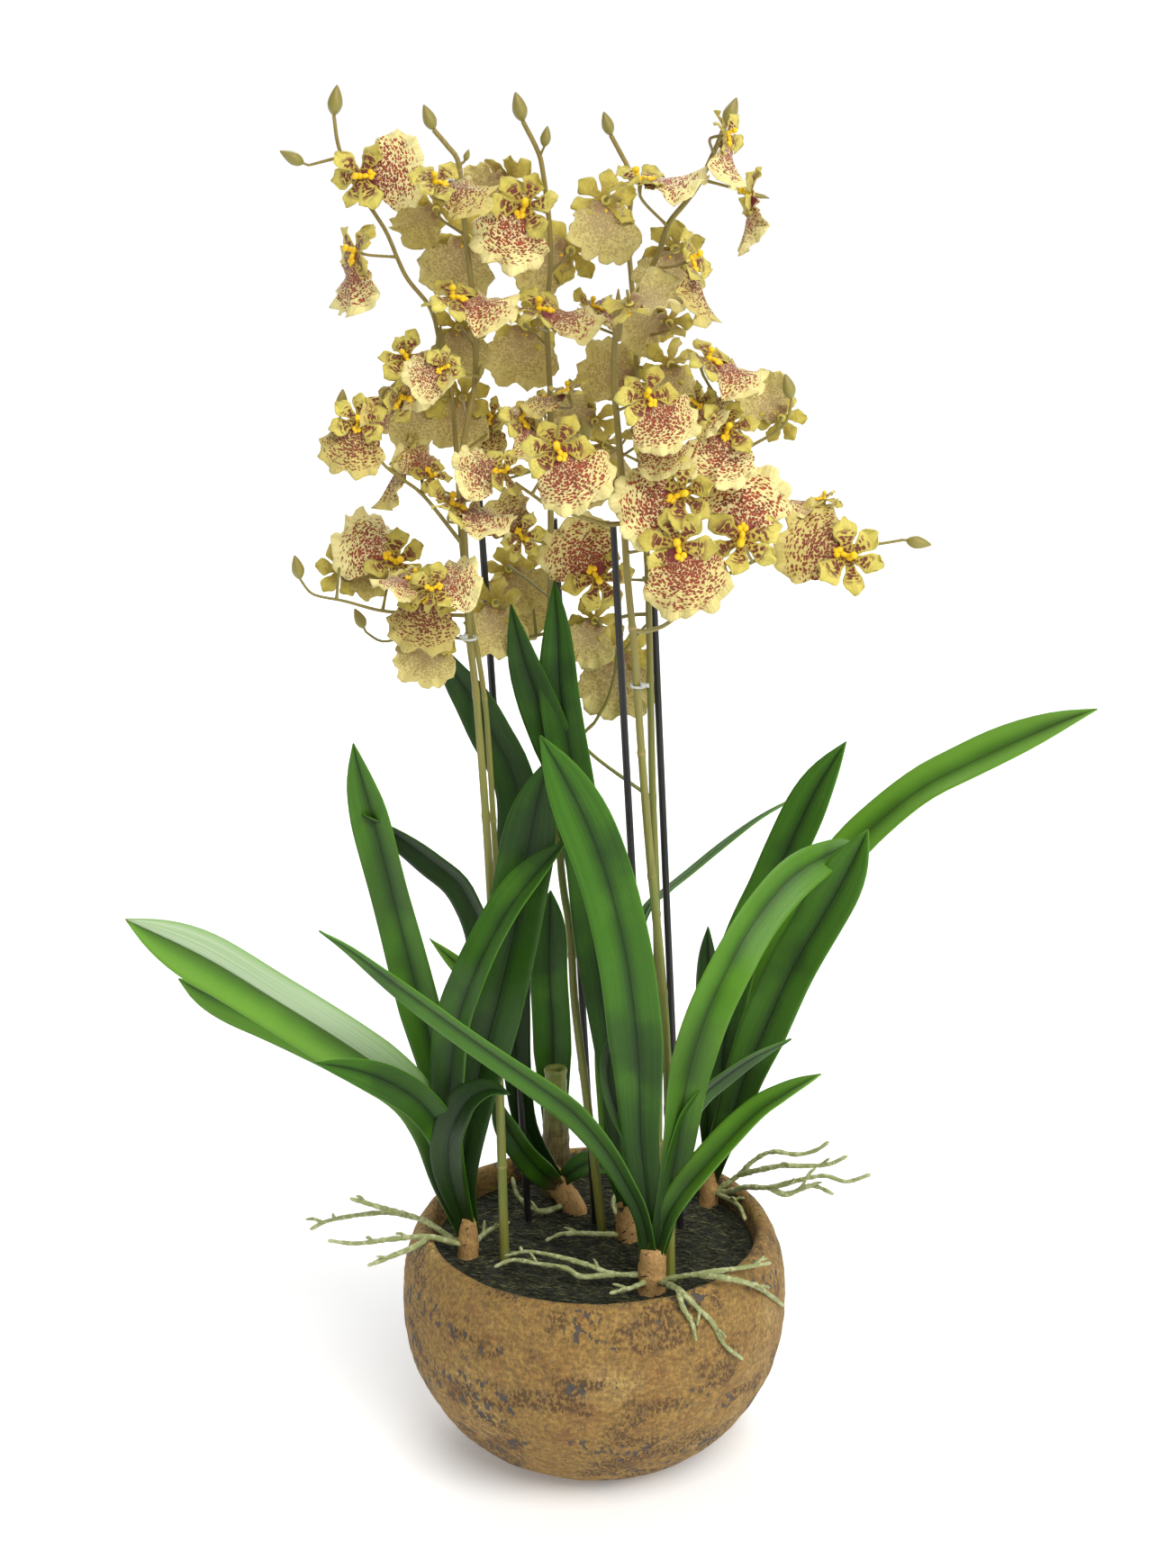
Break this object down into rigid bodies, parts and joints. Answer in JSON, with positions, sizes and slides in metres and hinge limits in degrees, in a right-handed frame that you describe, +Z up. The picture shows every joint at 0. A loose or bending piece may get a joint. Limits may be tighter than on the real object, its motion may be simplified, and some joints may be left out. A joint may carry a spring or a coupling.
{
  "type": "potted dancing lady orchid",
  "caption": "Potted dancing lady orchid: strap leaves, aerial roots and tall branching sprays of spotted, frilled blooms in a bulging earthenware bowl.",
  "frame": {"origin": "centre of the bowl's flat foot, on the surface that it stands on", "axes": "+Z up, +X to the right as seen from the front, -Y towards the viewer"},
  "size_m": [0.5898, 0.242, 0.8691],
  "materials": {
    "earthenware": "unglazed ochre earthenware with fine scratches and slate smears",
    "moss_soil": "dark fibrous moss",
    "leaf": "glossy green with a darker midrib",
    "sheath": "dry papery sheath",
    "root": "matt pale green",
    "stem": "satin olive",
    "petal": "satin cream yellow with red brown spots",
    "column": "satin yellow orange",
    "stick": "satin black",
    "tie": "translucent white"
  },
  "bodies": {
    "root": {"pot": "earthenware", "soil": "moss_soil", "plant_front": "leaf", "plant_left": "leaf", "plant_right": "leaf", "plant_middle": "leaf", "plant_back": "leaf", "stump": "leaf", "stick_left": "stick", "stick_middle": "stick", "stick_front": "stick", "stick_right": "stick", "spray_far_left": "petal", "spray_left": "petal", "spray_middle": "petal", "spray_front": "petal", "spray_back": "petal", "tie_left": "tie", "tie_right": "tie"}
  },
  "joints": []
}
